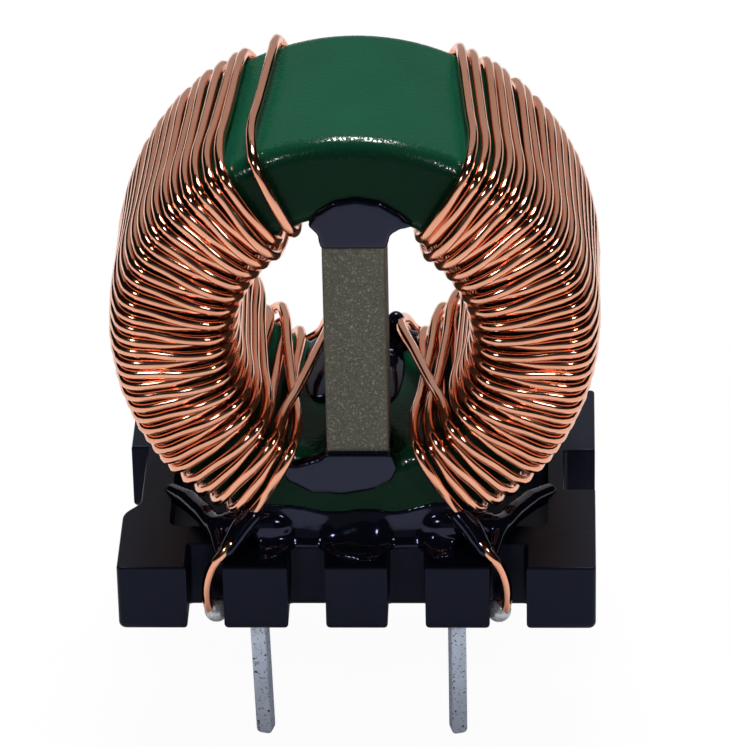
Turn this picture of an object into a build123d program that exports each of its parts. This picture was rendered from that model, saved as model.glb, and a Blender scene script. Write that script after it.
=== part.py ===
from build123d import *
import math
import os

# Common mode choke: a coated ferrite ring with two windings, upright on a slotted base.
# Millimetres. The origin is the centre of the pin pattern on the seating plane, under the base.
# +Z is up and -Y is the front. Angles on the ring count from its top, down each side.

# Base moulding
BASE_WIDTH = 24.0
BASE_DEPTH = 17.3
BASE_HEIGHT = 3.8
BASE_CORNER_RADIUS = 0.2
BASE_FOOT_RADIUS = 0.5
BASE_RIM_RADIUS = 0.12
SLOT_DEPTH = 2.25
OUTER_SLOT_X = 7.6
OUTER_SLOT_WIDTH = 1.85
INNER_SLOT_X = 2.5
INNER_SLOT_WIDTH = 1.9
SLOT_EDGE_RADIUS = 0.2
CROSSBAR_DEPTH = 3.9
RAIL_WIDTH = 2.4
RECESS_FLOOR = 1.8
RECESS_CORNER_RADIUS = 0.5
LEFT_NOTCH_DEPTH = 0.85
LEFT_NOTCH_FRONT = -3.0
LEFT_NOTCH_REAR = 2.9
LEFT_NOTCH_SWEEP = 1.9
RIGHT_NOTCH_DEPTH = 1.6
RIGHT_NOTCH_FRONT = -1.2
RIGHT_NOTCH_REAR = 2.6
NOTCH_CORNER_RADIUS = 0.2

# Pins
PIN_SPACING_X = 10.0
PIN_INSET = 1.2
PIN_THICKNESS = 0.8
PIN_LENGTH = 6.9
PIN_EDGE_RADIUS = 0.12
PIN_TIP_RADIUS = 0.34
PIN_TURN = 15.0
PIN_SET_DEPTH = 1.3
STUB_THICKNESS = 0.6
STUB_HEIGHT = 0.6
STUB_REACH = 0.45

# The leads' bends: past the slot's wall, behind the base's face, and above its underside or its top
LEAD_FOOT_BENDS = ((0.62, 0.95, 0.5), (0.86, 0.72, 1.4))
LEAD_TOP_BENDS = ((0.58, 0.55, -0.45), (-0.18, 0.6, 0.7))
LEAD_LANDING_INSET = 0.92
LEAD_LANDING_GAP = 1.0
LEAD_LANDING_HEIGHT = 1.45

# Ferrite ring and its coating
RING_OUTER_DIAMETER = 22.1
RING_BORE = 14.5
RING_HEIGHT = 11.5
RING_CORNER_RADIUS = 0.7
COATING = 0.3

# Ferrite bar in the bore
BAR_WIDTH = 3.1
BAR_THICKNESS = 4.0
BAR_OFFSET_X = 0.12
BAR_EDGE_RADIUS = 0.15
BAR_END_GAP = 0.15

# Windings
WIRE_DIAMETER = 0.55
WIRE_SIDES = 6
WIRE_CLEARANCE = 0.035
TURN_SPACING = 1.315
TURN_LEAN = 3.5
LAYER_STEP = 0.57
OUTER_LIFT = 0.395
LOWER_BEND_DEPTH = 0.55
UPPER_BEND_DEPTH = 0.45
LOWER_CROSSING = (0.45, 0.075)
UPPER_CROSSING = (-0.05, 0.625)
OUTER_CROSSING = (-1.45, 0.275)
OUTER_CORNER = (0.2, -0.05)
OUTER_BEND_DEPTH = 1.65
WINDING_END = 151.6
SPREAD_TURNS = 5
SPREAD_SPACING = 1.34
LEFT_LONE_TURN = 23.7
LEFT_FIRST_TURN = 32.5
RIGHT_LONE_TURN = 30.0
RIGHT_FIRST_TURN = 33.7

# Solder and epoxy
SOLDER_RADIUS = 0.62
SOLDER_OUTSET = 0.1
SOLDER_UNDERSIDE = 0.1
GLUE_LIP = 0.4
UPPER_BEAD_WIDTH = 5.0
UPPER_BEAD_HEIGHT = 2.54
UPPER_BEAD_X = 0.35
LOWER_BEAD_WIDTH = 6.2
LOWER_BEAD_HEIGHT = 2.9
LOWER_BEAD_X = 0.22
LOWER_BEAD_DROP = 0.45
LUMP_RADIUS = 0.8
LUMP_STRETCH = 1.6
LUMP_OUTSET = 0.25
LUMP_DEPTH = 1.6
LUMP_RISE = 1.5
CRADLE_WIDTH = 9.6
CRADLE_RISE = 1.25
CRADLE_TOE = 0.3
CRADLE_TOE_THICKNESS = 0.12
CRADLE_OVERLAP = 1.3
CRADLE_SLOPE_RISE = 0.5

# The web of epoxy at each rail: corners in from the rail and behind the front bar
WEB_CORNERS = ((0.0, 3.6), (0.0, 2.5), (0.5, -0.1), (2.3, -1.4), (3.9, -1.4), (3.9, 3.6))
WEB_TOP_SHARE = 0.85
WEB_SLOPE = 50.0
WEB_EDGE_RISE = 0.1

# Sizes that follow from the ones above
CORE_RADIUS = RING_OUTER_DIAMETER / 2 + COATING
CORE_BORE_RADIUS = RING_BORE / 2 - COATING
CORE_HALF = RING_HEIGHT / 2 + COATING
CORE_CORNER_RADIUS = RING_CORNER_RADIUS + COATING
CORE_Z = BASE_HEIGHT + CORE_RADIUS
FRONT_Y = -BASE_DEPTH / 2
PIN_SPACING_Y = BASE_DEPTH - 2 * PIN_INSET
SLOT_WALL_X = OUTER_SLOT_X - OUTER_SLOT_WIDTH / 2
STUB_END_X = SLOT_WALL_X + STUB_REACH
WIRE_RADIUS = WIRE_DIAMETER / 2
BORE_WIRE_RADIUS = CORE_BORE_RADIUS - WIRE_RADIUS - WIRE_CLEARANCE
OUTER_WIRE_RADIUS = CORE_RADIUS + WIRE_RADIUS + OUTER_LIFT
TURN_PITCH = math.degrees(WIRE_DIAMETER * TURN_SPACING / OUTER_WIRE_RADIUS)
SPREAD_PITCH = TURN_PITCH * SPREAD_SPACING


def on_ring(side, angle, radius, y):
    """A point at an angle from the top of the ring, left for side -1 and right for side 1."""
    turn = math.radians(angle)
    return Vector(side * radius * math.sin(turn), y, CORE_Z + radius * math.cos(turn))


def ring_solid(outer_radius, inner_radius, half_height, corner_radius):
    """A ring with rounded corners, its axis along Y."""
    width = outer_radius - inner_radius
    section = Pos(inner_radius + width / 2, 0) * RectangleRounded(width, 2 * half_height, corner_radius)
    return Pos(0, 0, CORE_Z) * revolve(section, Axis.Y)


def make_ferrite_ring():
    """The bare ferrite ring."""
    return ring_solid(RING_OUTER_DIAMETER / 2, RING_BORE / 2, RING_HEIGHT / 2, RING_CORNER_RADIUS)


def coated_core():
    """The full outer shape of the coated ring."""
    return ring_solid(CORE_RADIUS, CORE_BORE_RADIUS, CORE_HALF, CORE_CORNER_RADIUS)


def make_ferrite_bar():
    """The bar that stands in the bore, its corners just clear of the coating."""
    reach = BAR_WIDTH / 2 + abs(BAR_OFFSET_X)
    height = 2 * (math.sqrt(CORE_BORE_RADIUS ** 2 - reach ** 2) - BAR_END_GAP)
    bar = Box(BAR_WIDTH, BAR_THICKNESS, height)
    bar = fillet(bar.edges(), BAR_EDGE_RADIUS)
    return Pos(BAR_OFFSET_X, BAR_THICKNESS / 2 - CORE_HALF, CORE_Z) * bar


def slot_cutter(x, width, end):
    """One slot of the comb, through the full height, at the front for end -1 and the rear for 1."""
    slot = Box(width, 2 * SLOT_DEPTH, 3 * BASE_HEIGHT)
    slot = fillet(slot.edges().filter_by(Axis.Z), SLOT_EDGE_RADIUS)
    return Pos(x, end * BASE_DEPTH / 2, 0) * slot


def recess_cutter():
    """The well between the front bar, the rear bar and the two rails."""
    width = BASE_WIDTH - 2 * RAIL_WIDTH
    depth = BASE_DEPTH - 2 * CROSSBAR_DEPTH
    well = Box(width, depth, BASE_HEIGHT, align=(Align.CENTER, Align.CENTER, Align.MIN))
    well = fillet(well.edges().filter_by(Axis.Z), RECESS_CORNER_RADIUS)
    return Pos(0, 0, RECESS_FLOOR) * well


def left_notch_cutter():
    """The shallow notch of the left rail, with a soft sweep at its front end."""
    outside = -BASE_WIDTH / 2
    bottom = outside + LEFT_NOTCH_DEPTH
    start = LEFT_NOTCH_FRONT - LEFT_NOTCH_SWEEP / 2
    with BuildSketch() as plan:
        with BuildLine():
            sweep = Spline(
                (outside, start),
                (bottom, start + LEFT_NOTCH_SWEEP),
                tangents=[(0, 1), (0, 1)],
            )
            Polyline(
                sweep @ 1,
                (bottom, LEFT_NOTCH_REAR),
                (outside - 1, LEFT_NOTCH_REAR),
                (outside - 1, start),
                sweep @ 0,
            )
        make_face()
    return Pos(0, 0, -BASE_HEIGHT) * extrude(plan.sketch, 3 * BASE_HEIGHT)


def right_notch_cutter():
    """The deeper square notch of the right rail."""
    length = RIGHT_NOTCH_REAR - RIGHT_NOTCH_FRONT
    notch = Box(2 * RIGHT_NOTCH_DEPTH, length, 3 * BASE_HEIGHT)
    notch = fillet(notch.edges().filter_by(Axis.Z), NOTCH_CORNER_RADIUS)
    return Pos(BASE_WIDTH / 2, (RIGHT_NOTCH_FRONT + RIGHT_NOTCH_REAR) / 2, 0) * notch


def base_body():
    """The moulding with its slots, well and notches, before the pins are set."""
    body = Box(BASE_WIDTH, BASE_DEPTH, BASE_HEIGHT, align=(Align.CENTER, Align.CENTER, Align.MIN))
    body = fillet(body.edges().filter_by(Axis.Z), BASE_CORNER_RADIUS)
    for end in (-1, 1):
        for side in (-1, 1):
            body -= slot_cutter(side * OUTER_SLOT_X, OUTER_SLOT_WIDTH, end)
            body -= slot_cutter(side * INNER_SLOT_X, INNER_SLOT_WIDTH, end)
    body -= left_notch_cutter()
    body -= right_notch_cutter()
    foot = body.faces().sort_by(Axis.Z)[0].outer_wire().edges()
    body = fillet(foot, BASE_FOOT_RADIUS)
    rim = body.faces().sort_by(Axis.Z)[-1].outer_wire().edges()
    body = fillet(rim, BASE_RIM_RADIUS)
    return body - recess_cutter()


def make_pin(side, end):
    """A square pin with a rounded tip and a stub that reaches into the outer slot."""
    length = PIN_LENGTH + PIN_SET_DEPTH
    shank = Box(PIN_THICKNESS, PIN_THICKNESS, length, align=(Align.CENTER, Align.CENTER, Align.MIN))
    shank = fillet(shank.edges().filter_by(Axis.Z), PIN_EDGE_RADIUS)
    shank = fillet(shank.faces().sort_by(Axis.Z)[0].edges(), PIN_TIP_RADIUS)
    shank = Pos(0, 0, -PIN_LENGTH) * Rot(0, 0, -PIN_TURN * side * end) * shank
    reach = STUB_END_X - PIN_SPACING_X / 2
    stub = Box(reach, STUB_THICKNESS, STUB_THICKNESS, align=(Align.MIN, Align.CENTER, Align.CENTER))
    if side < 0:
        stub = mirror(stub, Plane.YZ)
    pin = shank + Pos(0, 0, STUB_HEIGHT) * stub
    return Pos(side * PIN_SPACING_X / 2, end * PIN_SPACING_Y / 2, 0) * pin


def turn_angles(lone, first):
    """Angles of one winding's turns at the front outer edge, from the top to the bottom."""
    spread_start = WINDING_END - SPREAD_TURNS * SPREAD_PITCH
    count = round((spread_start - first) / TURN_PITCH)
    count += (count + SPREAD_TURNS + 1) % 2
    pitch = (spread_start - first) / count
    close = [first + pitch * index for index in range(count + 1)]
    spread = [spread_start + SPREAD_PITCH * (index + 1) for index in range(SPREAD_TURNS)]
    return [lone] + close + spread[:-1] + [WINDING_END]


def lead_points(side, end):
    """The lead from the pin's stub up the outer slot and over the block beside it."""
    bends = [(x, y, z) for x, y, z in LEAD_FOOT_BENDS]
    bends += [(x, y, BASE_HEIGHT + z) for x, y, z in LEAD_TOP_BENDS]
    points = [Vector(side * (SLOT_WALL_X + x), end * (BASE_DEPTH / 2 - y), z) for x, y, z in bends]
    landing_x = SLOT_WALL_X - LEAD_LANDING_INSET
    landing_y = CORE_HALF + LEAD_LANDING_GAP
    return points + [Vector(side * landing_x, end * landing_y, BASE_HEIGHT + LEAD_LANDING_HEIGHT)]


def face_points(side, end, angle, upper):
    """The wire's points over one face of the ring, from its bore to its outer surface."""
    face = CORE_HALF + WIRE_RADIUS
    if upper:
        bends = [(BORE_WIRE_RADIUS - LAYER_STEP, CORE_HALF - UPPER_BEND_DEPTH)]
        bends += [(CORE_BORE_RADIUS + UPPER_CROSSING[0], face + UPPER_CROSSING[1])]
    else:
        bends = [(BORE_WIRE_RADIUS, CORE_HALF - LOWER_BEND_DEPTH)]
        bends += [(CORE_BORE_RADIUS + LOWER_CROSSING[0], face + LOWER_CROSSING[1])]
    bends += [(CORE_RADIUS + OUTER_CROSSING[0], face + OUTER_CROSSING[1])]
    bends += [(CORE_RADIUS + OUTER_CORNER[0], CORE_HALF + OUTER_CORNER[1])]
    bends += [(OUTER_WIRE_RADIUS, CORE_HALF - OUTER_BEND_DEPTH)]
    return [on_ring(side, angle, radius, end * y) for radius, y in bends]


def winding_path(side, lone, first):
    """The wire's route: up the ring in the lower layer of the bore, then down between those turns."""
    angles = turn_angles(lone, first)
    upward = angles[-2:0:-2]
    downward = angles[0::2]
    points = lead_points(side, 1)
    points += reversed(face_points(side, 1, angles[-1], False)[:3])
    for index, angle in enumerate(upward + downward):
        upper = index > len(upward)
        points += face_points(side, -1, angle, upper)
        next_upper = index + 1 > len(upward)
        points += reversed(face_points(side, 1, angle - TURN_LEAN, next_upper))
    past_last_crossing = 7
    return points[:-past_last_crossing] + list(reversed(lead_points(side, -1)))


def mitre_ring(point, before, after, section):
    """The wire's outline on the mitre plane between two runs, and its section for the next run."""
    normal = (before + after).normalized()
    outline = [point + spoke - before * (spoke.dot(normal) / before.dot(normal)) for spoke in section]
    turned = [spoke - normal * (2 * spoke.dot(normal)) for spoke in section]
    return outline, turned


def wire_solid(points):
    """A wire of straight runs with mitred joints, as one closed solid."""
    runs = [(points[i + 1] - points[i]).normalized() for i in range(len(points) - 1)]
    across = runs[0].cross(Vector(0, 1, 0)).normalized()
    other = runs[0].cross(across)
    section = []
    for index in range(WIRE_SIDES):
        turn = 2 * math.pi * index / WIRE_SIDES
        section.append((across * math.cos(turn) + other * math.sin(turn)) * WIRE_RADIUS)
    outlines = [[points[0] + spoke for spoke in section]]
    for index in range(1, len(runs)):
        outline, section = mitre_ring(points[index], runs[index - 1], runs[index], section)
        outlines.append(outline)
    outlines.append([points[-1] + spoke for spoke in section])
    faces = [Face(Wire.make_polygon(outlines[0])), Face(Wire.make_polygon(outlines[-1]))]
    for near, far in zip(outlines, outlines[1:]):
        for index in range(WIRE_SIDES):
            following = (index + 1) % WIRE_SIDES
            corners = [near[index], near[following], far[following], far[index]]
            faces.append(Face(Wire.make_polygon(corners)))
    return Solid(Shell(faces))


def make_solder(side, end, pin, lead):
    """The solder joint round the pin's stub and the end of the lead."""
    y = PIN_SPACING_Y / 2 + SOLDER_OUTSET
    drop = Pos(side * STUB_END_X, end * y, STUB_HEIGHT) * Sphere(SOLDER_RADIUS)
    above = Box(BASE_WIDTH, BASE_DEPTH, BASE_HEIGHT, align=(Align.CENTER, Align.CENTER, Align.MIN))
    drop &= Pos(0, 0, SOLDER_UNDERSIDE) * above
    return largest(drop - base_body() - pin - lead)


def largest(shape):
    """The largest solid of a shape."""
    return shape.solids().sort_by(SortBy.VOLUME)[-1]


def bead(centre_x, centre_z, width, height):
    """A bead along the bore, as an elliptical bar with a short lip at each face of the ring."""
    length = 2 * (CORE_HALF + GLUE_LIP)
    bar = extrude(Plane.XZ * Ellipse(width / 2, height / 2), length / 2, both=True)
    bar = fillet(bar.edges(), GLUE_LIP / 2)
    return Pos(centre_x, 0, CORE_Z + centre_z) * bar


def make_upper_bar_glue():
    """The bead between the top of the bar and the bore."""
    drop = bead(UPPER_BEAD_X, CORE_BORE_RADIUS, UPPER_BEAD_WIDTH, UPPER_BEAD_HEIGHT)
    return largest(drop - coated_core() - make_ferrite_bar())


def make_lower_bar_glue():
    """The bead at the foot of the bar, with the lump behind it."""
    drop = bead(LOWER_BEAD_X, -CORE_BORE_RADIUS - LOWER_BEAD_DROP, LOWER_BEAD_WIDTH, LOWER_BEAD_HEIGHT)
    lump = scale(Sphere(LUMP_RADIUS), (1, 1, LUMP_STRETCH))
    lump_x = BAR_OFFSET_X + BAR_WIDTH / 2 + LUMP_OUTSET
    lump = Pos(lump_x, CORE_HALF - LUMP_DEPTH, CORE_Z - CORE_BORE_RADIUS + LUMP_RISE) * lump
    return largest(drop + lump - coated_core() - make_ferrite_bar())


def make_cradle_glue(end, leads):
    """The fillet of epoxy between one face of the ring and the bar of the base under it."""
    inner = CORE_HALF - CRADLE_OVERLAP
    toe = BASE_DEPTH / 2 - CRADLE_TOE
    top = BASE_HEIGHT + CRADLE_RISE + CRADLE_SLOPE_RISE
    with BuildSketch(Plane.YZ) as profile:
        with BuildLine():
            Polyline(
                (end * inner, BASE_HEIGHT),
                (end * toe, BASE_HEIGHT),
                (end * toe, BASE_HEIGHT + CRADLE_TOE_THICKNESS),
                (end * CORE_HALF, top),
                (end * inner, top),
                close=True,
            )
        make_face()
    fillet_body = extrude(profile.sketch, CRADLE_WIDTH / 2, both=True)
    hollow = Cylinder(CORE_RADIUS - CRADLE_RISE, BASE_DEPTH, rotation=(90, 0, 0))
    fillet_body -= Pos(0, 0, CORE_Z) * hollow
    fillet_body = fillet_body - coated_core() - base_body()
    for side in (-1, 1):
        fillet_body -= slot_cutter(side * INNER_SLOT_X, INNER_SLOT_WIDTH, end)
    for lead in leads:
        fillet_body -= lead
    return largest(fillet_body)


def make_side_glue(side):
    """The web of epoxy between a rail, the front bar and the winding above them."""
    rail = BASE_WIDTH / 2 - RAIL_WIDTH
    bar_y = FRONT_Y + CROSSBAR_DEPTH
    corners = [(side * (rail - x), bar_y + y) for x, y in WEB_CORNERS]
    with BuildSketch() as plan:
        with BuildLine():
            Polyline(*corners, close=True)
        make_face()
    height = CORE_Z - CORE_RADIUS * WEB_TOP_SHARE - RECESS_FLOOR
    web = Pos(0, 0, RECESS_FLOOR) * extrude(plan.sketch, height)
    envelope = OUTER_WIRE_RADIUS + WIRE_RADIUS
    web -= Pos(0, 0, CORE_Z) * Cylinder(envelope, BASE_DEPTH, rotation=(90, 0, 0))
    slope = Box(BASE_WIDTH, BASE_DEPTH, BASE_WIDTH, align=(Align.CENTER, Align.CENTER, Align.MIN))
    web -= Pos(side * rail, 0, BASE_HEIGHT + WEB_EDGE_RISE) * Rot(0, side * WEB_SLOPE, 0) * slope
    return largest(web - base_body())


def make_parts():
    """Every piece of the choke, by node name."""
    pins = {}
    for end, row in ((-1, "front"), (1, "rear")):
        for side, column in ((-1, "left"), (1, "right")):
            pins[(side, end)] = (f"{row}_{column}", make_pin(side, end))
    base = base_body()
    parts = {
        "ferrite_ring": make_ferrite_ring(),
        "core_coating": coated_core() - make_ferrite_ring(),
        "ferrite_bar": make_ferrite_bar(),
        "left_winding": wire_solid(winding_path(-1, LEFT_LONE_TURN, LEFT_FIRST_TURN)),
        "right_winding": wire_solid(winding_path(1, RIGHT_LONE_TURN, RIGHT_FIRST_TURN)),
        "upper_bar_glue": make_upper_bar_glue(),
        "lower_bar_glue": make_lower_bar_glue(),
        "left_side_glue": make_side_glue(-1),
        "right_side_glue": make_side_glue(1),
    }
    leads = {}
    for key, (place, pin) in pins.items():
        side, end = key
        landing = face_points(side, end, WINDING_END, end < 0)[2]
        leads[key] = wire_solid(lead_points(side, end) + [landing])
        parts[f"{place}_pin"] = pin
        parts[f"{place}_solder"] = make_solder(side, end, pin, leads[key])
        base -= pin
    parts["front_cradle_glue"] = make_cradle_glue(-1, [leads[(-1, -1)], leads[(1, -1)]])
    parts["rear_cradle_glue"] = make_cradle_glue(1, [leads[(-1, 1)], leads[(1, 1)]])
    parts["base"] = base
    return parts


def main():
    """Write every piece as a STEP file."""
    os.makedirs("parts", exist_ok=True)
    for node, shape in make_parts().items():
        export_step(shape, f"parts/{node}.step")


main()
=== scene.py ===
import logging
import math
import random
from dataclasses import dataclass
from enum import Enum

import bmesh
import bpy
from mathutils import Matrix, Vector


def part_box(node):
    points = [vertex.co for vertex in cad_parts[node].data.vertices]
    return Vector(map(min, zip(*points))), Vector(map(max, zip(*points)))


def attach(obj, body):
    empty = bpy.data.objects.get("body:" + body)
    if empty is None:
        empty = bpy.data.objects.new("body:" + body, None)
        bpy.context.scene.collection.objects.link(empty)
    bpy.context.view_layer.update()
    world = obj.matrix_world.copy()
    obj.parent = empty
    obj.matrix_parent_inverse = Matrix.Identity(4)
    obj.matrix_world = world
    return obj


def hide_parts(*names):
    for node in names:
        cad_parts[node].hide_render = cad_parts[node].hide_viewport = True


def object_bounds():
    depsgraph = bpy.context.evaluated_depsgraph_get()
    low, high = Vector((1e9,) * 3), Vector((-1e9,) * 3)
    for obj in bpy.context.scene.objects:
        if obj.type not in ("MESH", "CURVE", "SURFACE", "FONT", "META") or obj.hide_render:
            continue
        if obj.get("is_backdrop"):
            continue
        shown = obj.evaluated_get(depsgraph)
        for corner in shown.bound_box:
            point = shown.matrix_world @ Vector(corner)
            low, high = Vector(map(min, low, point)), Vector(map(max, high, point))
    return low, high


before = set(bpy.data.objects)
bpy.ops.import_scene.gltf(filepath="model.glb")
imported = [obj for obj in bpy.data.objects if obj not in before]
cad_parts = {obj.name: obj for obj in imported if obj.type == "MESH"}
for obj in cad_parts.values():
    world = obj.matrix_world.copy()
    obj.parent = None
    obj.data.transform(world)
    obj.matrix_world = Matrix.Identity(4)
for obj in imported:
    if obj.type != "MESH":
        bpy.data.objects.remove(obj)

LOG = logging.getLogger("choke")
MM = 0.001
BODY = "root"

# The coated ring's bore, in millimetres
BORE_RADIUS = 6.95

# The photograph's frame and the camera that was fitted to it
IMAGE_WIDTH = 730
IMAGE_HEIGHT = 747
FOCAL_PIXELS = 5525.2
SENSOR = 36.0
CAMERA_PLACE = (10.403, -240.464, 153.593)
CAMERA_ELEVATION = 30.829
CAMERA_AZIMUTH = -2.402
CAMERA_ROLL = -1.259


class Side(Enum):
    """The two halves of the ring, seen from the front."""

    LEFT = -1
    RIGHT = 1


class End(Enum):
    """The two faces of the ring."""

    FRONT = -1
    REAR = 1


def from_screen(red: int, green: int, blue: int) -> tuple[float, float, float, float]:
    """Turn a screen colour into the linear colour that a shader takes.

    Args:
        red: Red, from 0 to 255.
        green: Green, from 0 to 255.
        blue: Blue, from 0 to 255.

    Returns:
        The linear colour with full alpha.
    """
    def linear(value: int) -> float:
        """One channel, from the screen's curve to a straight scale."""
        share = value / 255
        return share / 12.92 if share <= 0.04045 else ((share + 0.055) / 1.055) ** 2.4

    return (linear(red), linear(green), linear(blue), 1.0)


class MaterialBench:
    """A material with a Principled shader and short ways to add and join its nodes."""

    def __init__(self, name: str) -> None:
        """Make the material, its shader and its object coordinates.

        Args:
            name: The material's name.
        """
        self.material = bpy.data.materials.new(name)
        self.material.use_nodes = True
        self.tree = self.material.node_tree
        self.tree.nodes.clear()
        self.shader = self.add("ShaderNodeBsdfPrincipled")
        output = self.add("ShaderNodeOutputMaterial")
        self.join(self.shader.outputs["BSDF"], output.inputs["Surface"])
        self.place = self.add("ShaderNodeTexCoord").outputs["Object"]

    def add(self, kind: str, **values: object) -> bpy.types.Node:
        """Add a node and set some of its properties.

        Args:
            kind: The node's type.
            values: Its properties.

        Returns:
            The new node.
        """
        node = self.tree.nodes.new(kind)
        for key, value in values.items():
            setattr(node, key, value)
        return node

    def join(self, source: bpy.types.NodeSocket, target: bpy.types.NodeSocket) -> None:
        """Link one socket to another."""
        self.tree.links.new(source, target)

    def set(self, **values: object) -> None:
        """Set the shader's own sockets, with underscores in their names for spaces."""
        for key, value in values.items():
            self.shader.inputs[key.replace("_", " ")].default_value = value

    def group(self, tree: bpy.types.NodeTree, **values: float) -> bpy.types.Node:
        """Place a shared node group on object coordinates.

        Args:
            tree: The group.
            values: Its inputs, with underscores in their names for spaces.

        Returns:
            The group's node.
        """
        node = self.add("ShaderNodeGroup")
        node.node_tree = tree
        self.join(self.place, node.inputs["Place"])
        for key, value in values.items():
            node.inputs[key.replace("_", " ")].default_value = value
        return node

    def mix(self, share: bpy.types.NodeSocket, low: object, high: object) -> bpy.types.NodeSocket:
        """Mix two colours by a share.

        Args:
            share: The socket that says how much of the second colour shows.
            low: A colour or a colour socket.
            high: A colour or a colour socket.

        Returns:
            The mixed colour's socket.
        """
        node = self.add("ShaderNodeMix", data_type="RGBA")
        self.join(share, node.inputs["Factor"])
        for slot, colour in (("A", low), ("B", high)):
            socket = next(s for s in node.inputs if s.name == slot and s.type == "RGBA")
            if isinstance(colour, bpy.types.NodeSocket):
                self.join(colour, socket)
            else:
                socket.default_value = colour
        return next(s for s in node.outputs if s.type == "RGBA")

    def spread(self, share: bpy.types.NodeSocket, low: float, high: float) -> bpy.types.NodeSocket:
        """Spread a share from 0 to 1 over another range.

        Args:
            share: The socket with the share.
            low: The result where the share is 0.
            high: The result where the share is 1.

        Returns:
            The socket with the result.
        """
        node = self.add("ShaderNodeMapRange")
        self.join(share, node.inputs["Value"])
        node.inputs["To Min"].default_value = low
        node.inputs["To Max"].default_value = high
        return node.outputs["Result"]

    def roughen(self, share: bpy.types.NodeSocket, low: float, high: float) -> None:
        """Let a share vary the roughness between two values."""
        self.join(self.spread(share, low, high), self.shader.inputs["Roughness"])

    def emboss(self, height: bpy.types.NodeSocket, strength: float, depth: float) -> None:
        """Let a height raise the surface.

        Args:
            height: The socket with the height, from 0 to 1.
            strength: How strongly the relief shows.
            depth: The relief's depth in metres.
        """
        bump = self.add("ShaderNodeBump")
        bump.inputs["Strength"].default_value = strength
        bump.inputs["Distance"].default_value = depth
        self.join(height, bump.inputs["Height"])
        self.join(bump.outputs["Normal"], self.shader.inputs["Normal"])


class EffectGroups:
    """The surface effects that several finishes share, each built once."""

    def __init__(self) -> None:
        """Build the groups."""
        self.grain = self.make_grain()
        self.specks = self.make_specks()

    @staticmethod
    def start(name: str, inputs: dict[str, float], outputs: list[str]) -> tuple:
        """Make a group with a place input and the given numbers.

        Args:
            name: The group's name.
            inputs: The inputs' names and first values.
            outputs: The outputs' names.

        Returns:
            The tree, its input node and its output node.
        """
        tree = bpy.data.node_groups.new(name, "ShaderNodeTree")
        tree.interface.new_socket("Place", in_out="INPUT", socket_type="NodeSocketVector")
        for key, value in inputs.items():
            socket = tree.interface.new_socket(key, in_out="INPUT", socket_type="NodeSocketFloat")
            socket.default_value = value
        for key in outputs:
            tree.interface.new_socket(key, in_out="OUTPUT", socket_type="NodeSocketFloat")
        return tree, tree.nodes.new("NodeGroupInput"), tree.nodes.new("NodeGroupOutput")

    def make_grain(self) -> bpy.types.NodeTree:
        """Build the fine grain for relief, with a broad cloud for colour.

        Returns:
            The group, which puts out Height and Cloud.
        """
        tree, given, result = self.start(
            "fine_grain", {"Fine Scale": 3000.0, "Cloud Scale": 200.0}, ["Height", "Cloud"])
        for source, target, detail in (("Fine Scale", "Height", 3.0), ("Cloud Scale", "Cloud", 4.0)):
            noise = tree.nodes.new("ShaderNodeTexNoise")
            noise.inputs["Detail"].default_value = detail
            tree.links.new(given.outputs["Place"], noise.inputs["Vector"])
            tree.links.new(given.outputs[source], noise.inputs["Scale"])
            tree.links.new(noise.outputs["Fac"], result.inputs[target])
        return tree

    def make_specks(self) -> bpy.types.NodeTree:
        """Build the specks, which show where noise passes a level.

        Returns:
            The group, which puts out Mask.
        """
        tree, given, result = self.start(
            "specks", {"Scale": 2000.0, "Level": 0.62, "Edge": 0.04}, ["Mask"])
        noise = tree.nodes.new("ShaderNodeTexNoise")
        noise.inputs["Detail"].default_value = 2.0
        tree.links.new(given.outputs["Place"], noise.inputs["Vector"])
        tree.links.new(given.outputs["Scale"], noise.inputs["Scale"])
        top = tree.nodes.new("ShaderNodeMath")
        top.operation = "ADD"
        tree.links.new(given.outputs["Level"], top.inputs[0])
        tree.links.new(given.outputs["Edge"], top.inputs[1])
        cut = tree.nodes.new("ShaderNodeMapRange")
        tree.links.new(noise.outputs["Fac"], cut.inputs["Value"])
        tree.links.new(given.outputs["Level"], cut.inputs["From Min"])
        tree.links.new(top.outputs["Value"], cut.inputs["From Max"])
        tree.links.new(cut.outputs["Result"], result.inputs["Mask"])
        return tree


@dataclass(frozen=True)
class CopperFinish:
    """Enamelled copper wire: bright metal under a clear warm coat."""

    bright: tuple[int, int, int] = (246, 184, 154)
    deep: tuple[int, int, int] = (228, 150, 116)
    roughness: float = 0.11

    def make(self, effects: EffectGroups) -> bpy.types.Material:
        """Build the material.

        Args:
            effects: The shared surface effects.

        Returns:
            The finished material.
        """
        bench = MaterialBench("enamelled_copper")
        grain = bench.group(effects.grain, Fine_Scale=900.0, Cloud_Scale=260.0)
        colour = bench.mix(grain.outputs["Cloud"], from_screen(*self.deep), from_screen(*self.bright))
        bench.join(colour, bench.shader.inputs["Base Color"])
        bench.set(Metallic=1.0, Coat_Weight=0.15, Coat_Roughness=0.08, Coat_IOR=1.5)
        bench.roughen(grain.outputs["Cloud"], low=self.roughness - 0.04, high=self.roughness + 0.06)
        bench.emboss(grain.outputs["Height"], strength=0.15, depth=0.00002)
        return bench.material


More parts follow.
